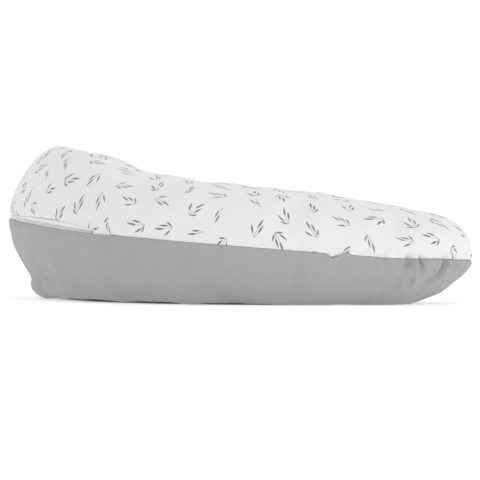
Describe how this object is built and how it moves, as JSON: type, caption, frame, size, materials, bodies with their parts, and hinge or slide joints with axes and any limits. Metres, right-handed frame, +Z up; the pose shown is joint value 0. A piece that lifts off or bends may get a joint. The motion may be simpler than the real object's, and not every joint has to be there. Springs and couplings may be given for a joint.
{
  "type": "nursing pillow",
  "caption": "U-shaped nursing pillow, high at the bend and low at the arm tips, stuffed inner pillow in a two-panel zipped fabric cover.",
  "frame": {"origin": "on the resting surface, below the middle of the pillow's width and depth", "axes": "+Z up; the bend faces -Y, and the arms and the waist opening face +Y; X runs across the two arms"},
  "size_m": [0.56, 0.4564, 0.154],
  "materials": {
    "printed_cotton": "matte",
    "grey_cotton": "matte",
    "lining": "matte",
    "fibre": "matte",
    "zip_tape": "matte",
    "zip_coil": "satin",
    "zip_metal": "satin",
    "label": "satin"
  },
  "bodies": {
    "cover": {"cover_top": "printed_cotton", "cover_base": "grey_cotton", "liner_top": "lining", "liner_base": "lining", "fibre_fill": "fibre", "zip_tape_upper": "zip_tape", "zip_tape_lower": "zip_tape", "zip_coil_upper": "zip_coil", "zip_coil_lower": "zip_coil", "zip_top_stop_upper": "zip_metal", "zip_top_stop_lower": "zip_metal", "zip_bottom_stop": "zip_metal", "care_label": "label"},
    "slider": {"zip_slider": "zip_metal"},
    "pull_tab": {"zip_pull_tab": "zip_metal"}
  },
  "joints": [
    {"name": "zip_travel", "type": "hinge", "parent": "cover", "child": "slider", "pos_m": [0, 0.0486, 0.04282], "axis": [0, 0.1435, 0.9897], "range_deg": [0, 90]},
    {"name": "tab_flip", "type": "hinge", "parent": "slider", "child": "pull_tab", "pos_m": [-0.1999, -0.14923, 0.07151], "axis": [0, -0.1435, -0.9897], "range_deg": [0, 180]}
  ]
}
